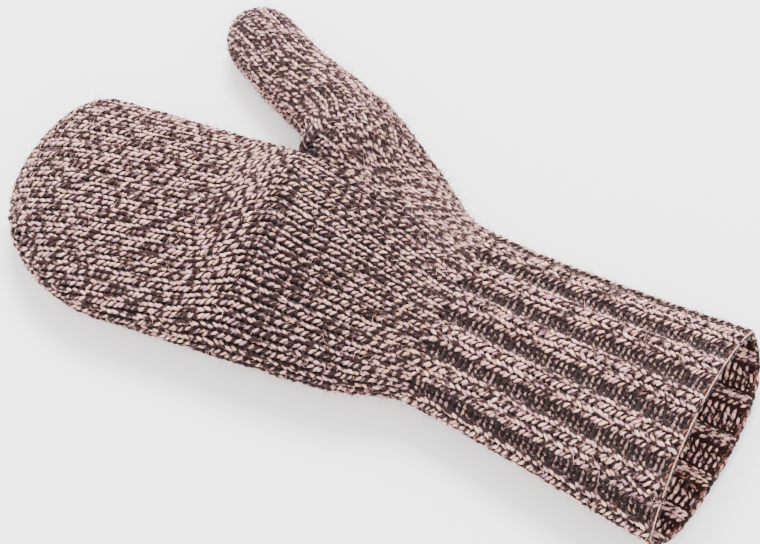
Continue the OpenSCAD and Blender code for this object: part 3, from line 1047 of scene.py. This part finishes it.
class MittenSettings(bpy.types.PropertyGroup):
    yarn_thickness: bpy.props.FloatProperty(
        name="Yarn thickness",
        description="Thickness of the yarn",
        default=0.00175,
        min=0.001,
        max=0.003,
        subtype="DISTANCE",
        unit="LENGTH",
    )
    edge_thickness: bpy.props.FloatProperty(
        name="Edge cord",
        description="Thickness of the cast-on edge's cord",
        default=0.002,
        min=0.0015,
        max=0.004,
        subtype="DISTANCE",
        unit="LENGTH",
    )
    thread_thickness: bpy.props.FloatProperty(
        name="Edge thread",
        description="Thickness of the fine thread at the open end",
        default=0.0006,
        min=0.0004,
        max=0.0015,
        subtype="DISTANCE",
        unit="LENGTH",
    )
    loose_fibres: bpy.props.IntProperty(
        name="Loose fibres",
        description="Loose fibres on each knitted piece",
        default=1500,
        min=0,
        max=5000,
    )
    floor_colour: bpy.props.FloatVectorProperty(
        name="Floor",
        description="Colour of the floor",
        default=(1.0, 1.0, 1.0),
        size=3,
        subtype="COLOR",
        min=0,
        max=1,
    )


class MITTEN_OT_cuff(bpy.types.Operator):
    """Knits the ribbed cuff"""

    bl_idname = "mitten.cuff"
    bl_label = "Ribbed cuff"

    def execute(self, context):
        node = ["cuff_ribbing"]
        split = END_ROWS - CUFF_ROWS
        knit_piece("cuff_rib_end", "cuff", range(-CUFF_ROWS, split), 11, node, rides("cuff"))
        knit_piece("cuff_rib_middle", "cuff", range(split, -WRIST_ROWS), 12, node, rides("cuff"))
        knit_piece("cuff_rib_wrist", "cuff", range(-WRIST_ROWS, 0), 13, node, wrist_bend)
        return {"FINISHED"}


class MITTEN_OT_edge(bpy.types.Operator):
    """Makes the cast-on edge and the fine thread round the open end"""

    bl_idname = "mitten.edge"
    bl_label = "Cast-on edge"

    def execute(self, context):
        settings = context.scene.mitten_settings
        rng = np.random.default_rng(21)
        count = CORD_TURNS * CORD_STEPS
        p, n = rim(CORD_AT, 0.0, count)
        d = np.roll(p, -1, 0) - np.roll(p, 1, 0)
        d /= np.linalg.norm(d, axis=1, keepdims=True)
        b = np.cross(d, n)
        r = 0.62 * settings.edge_thickness * 1000 / 2
        cord = []
        for half in (0, 0.5):
            t = 2 * math.pi * (np.arange(count) / CORD_STEPS + half)
            q = p + r * (np.cos(t)[:, None] * n * 1.25 + np.sin(t)[:, None] * b)
            cord.append({"p": q, "n": n, "r": np.full(count, r), "closed": True})
        ride = rides("cuff")
        plain_piece("cast_on_cord", cord, "edge", CORD_TWIST, rng, "cast_on_edge", ride)
        count = THREAD_POINTS
        p, n = rim(THREAD_AT, THREAD_OUT, count)
        turn = np.arange(count) * 2 * math.pi / count
        p = p + n * (THREAD_WAVE * (np.sin(turn * 24) + np.sin(turn * 7 + 1)))[:, None]
        r = np.full(count, settings.thread_thickness * 1000 / 2)
        thread = [{"p": p, "n": n, "r": r, "closed": True}]
        plain_piece("rim_thread", thread, "thread", THREAD_TWIST, rng, "edge_thread", ride)
        return {"FINISHED"}


class MITTEN_OT_palm(bpy.types.Operator):
    """Knits the palm and the back of the hand"""

    bl_idname = "mitten.palm"
    bl_label = "Palm and back"

    def execute(self, context):
        node = ["palm_and_back"]
        knit_piece("palm_heel", "palm", range(0, HEEL_ROWS), 31, node, wrist_bend)
        knit_piece("palm_upper", "palm", range(HEEL_ROWS, PALM_ROWS), 32, node, rides("hand"))
        return {"FINISHED"}


class MITTEN_OT_gusset(bpy.types.Operator):
    """Knits the gusset that widens the hand for the thumb"""

    bl_idname = "mitten.gusset"
    bl_label = "Thumb gusset"

    def execute(self, context):
        node = ["thumb_gusset"]
        knit_piece("gusset_lower", "gusset", range(0, HEEL_ROWS), 41, node, wrist_bend)
        knit_piece("gusset_upper", "gusset", range(HEEL_ROWS, PALM_ROWS), 42, node, rides("hand"))
        return {"FINISHED"}


class MITTEN_OT_fingers(bpy.types.Operator):
    """Knits the finger part and its rounded tip"""

    bl_idname = "mitten.fingers"
    bl_label = "Fingers"

    def execute(self, context):
        top = PALM_ROWS + runs()["finger_rows"]
        split = PALM_ROWS + FINGER_BEND_ROWS
        knit_piece("finger_part", "fingers", range(PALM_ROWS, split), 51, ["finger_tube"], knuckle_bend)
        knit_piece("fingertip", "fingers", range(split, top), 52, ["fingertip_decreases"], rides("fingers"))
        return {"FINISHED"}


class MITTEN_OT_thumb(bpy.types.Operator):
    """Knits the thumb"""

    bl_idname = "mitten.thumb"
    bl_label = "Thumb"

    def execute(self, context):
        rows = range(PALM_ROWS, PALM_ROWS + runs()["thumb_rows"])
        knit_piece("thumb_part", "thumb", rows, 61, ["thumb_tube", "thumb_tip_decreases"], thumb_bend)
        return {"FINISHED"}


class MITTEN_OT_gathers(bpy.types.Operator):
    """Draws the two tips together"""

    bl_idname = "mitten.gathers"
    bl_label = "Gathered tips"

    def execute(self, context):
        s = HAND_LEN - INSET
        a = heading(s)
        line, side = np.array([-math.cos(a), -math.sin(a), 0]), np.array([*across(s), 0])
        tip = hand_point(s, math.pi / 2)
        gather("fingertip_knot", tip, line, side, "fingertip_gather", "fingers", 81)
        line, side = np.array([*THUMB_LINE, 0]), np.array([*THUMB_ACROSS, 0])
        tip = thumb_point(THUMB_END - INSET, math.pi / 2)
        gather("thumb_knot", tip, line, side, "thumb_gather", "thumb", 82)
        return {"FINISHED"}


class MITTEN_OT_yarn_ends(bpy.types.Operator):
    """Darns in the three yarn ends"""

    bl_idname = "mitten.yarn_ends"
    bl_label = "Yarn ends"

    def execute(self, context):
        edge = -CUFF_ROWS
        tip = PALM_ROWS + runs()["finger_rows"]
        top = PALM_ROWS + runs()["thumb_rows"]
        for name, key, first, last, f, node, body, seed in (
            ("cast_on_end", "cuff", edge + 0.5, edge + 13, 0.62, "cast_on_yarn_end", "cuff", 71),
            ("fingertip_end", "fingers", tip - 7, tip - 20, 0.5, "fingertip_yarn_end", "fingers", 72),
            ("thumb_end", "thumb", top - 4, top - 15, 0.5, "thumb_yarn_end", "thumb", 73),
        ):
            woven_end(name, key, first, last, f, node, rides(body), seed)
        return {"FINISHED"}


class MITTEN_OT_stage(bpy.types.Operator):
    """Sets the floor, the lights and the camera"""

    bl_idname = "mitten.stage"
    bl_label = "Stage"

    def execute(self, context):
        scene = context.scene
        mesh = bpy.data.meshes.new("floor")
        e = FLOOR_HALF
        spread = ((-e, -e), (e, -e), (e, e), (-e, e))
        mesh.from_pydata([(x, y, FLOOR) for x, y in spread], [], [(0, 1, 2, 3)])
        floor = bpy.data.objects.new("floor", mesh)
        scene.collection.objects.link(floor)
        mat, _, bsdf = matte_material("floor", 1.0, 0.0)
        bsdf.inputs["Base Color"].default_value = (*scene.mitten_settings.floor_colour, 1)
        bsdf.inputs["Emission Color"].default_value = (1, 1, 1, 1)
        bsdf.inputs["Emission Strength"].default_value = 0.5
        mesh.materials.append(mat)
        world = bpy.data.worlds.new("studio")
        world.use_nodes = True
        sky = world.node_tree.nodes["Background"]
        sky.inputs["Color"].default_value = (1, 1, 1, 1)
        sky.inputs["Strength"].default_value = 2.0
        scene.world = world

        def look(thing, at):
            thing.rotation_euler = (Vector(at) - thing.location).to_track_quat("-Z", "Y").to_euler()

        def lamp(name, at, size, power):
            data = bpy.data.lights.new(name, "AREA")
            data.shape = "SQUARE"
            data.size = size
            data.energy = power
            o = bpy.data.objects.new(name, data)
            scene.collection.objects.link(o)
            o.location = at
            look(o, (0, 0, 0))

        lamp("key", (-0.5, 0.9, 1.4), 0.7, 62)
        lamp("fill", (0.9, -0.8, 1.2), 1.0, 8)
        cam = bpy.data.objects.new("camera", bpy.data.cameras.new("camera"))
        scene.collection.objects.link(cam)
        cam.location = (0.4186, -0.7490, 1.4899)
        cam.data.lens = 188.6
        cam.data.sensor_width = 36
        look(cam, (0.00005, -0.0092, 0.0177))
        scene.camera = cam
        return {"FINISHED"}


class MITTEN_PT_panel(bpy.types.Panel):
    bl_label = "Knitted mitten"
    bl_idname = "MITTEN_PT_panel"
    bl_space_type = "VIEW_3D"
    bl_region_type = "UI"
    bl_category = "Mitten"

    def draw(self, context):
        for name in MittenSettings.__annotations__:
            self.layout.prop(context.scene.mitten_settings, name)
        for cls in OPERATORS:
            self.layout.operator(cls.bl_idname)


OPERATORS = (
    MITTEN_OT_cuff,
    MITTEN_OT_edge,
    MITTEN_OT_palm,
    MITTEN_OT_gusset,
    MITTEN_OT_fingers,
    MITTEN_OT_thumb,
    MITTEN_OT_gathers,
    MITTEN_OT_yarn_ends,
    MITTEN_OT_stage,
)
CLASSES = (MittenSettings, *OPERATORS, MITTEN_PT_panel)


def register():
    for cls in CLASSES:
        bpy.utils.register_class(cls)
    bpy.types.Scene.mitten_settings = bpy.props.PointerProperty(type=MittenSettings)


def unregister():
    del bpy.types.Scene.mitten_settings
    for cls in reversed(CLASSES):
        bpy.utils.unregister_class(cls)


def main():
    """Builds the mitten and its stage."""
    register()
    for cls in OPERATORS:
        area, name = cls.bl_idname.split(".")
        getattr(getattr(bpy.ops, area), name)()


if __name__ == "__main__":
    main()
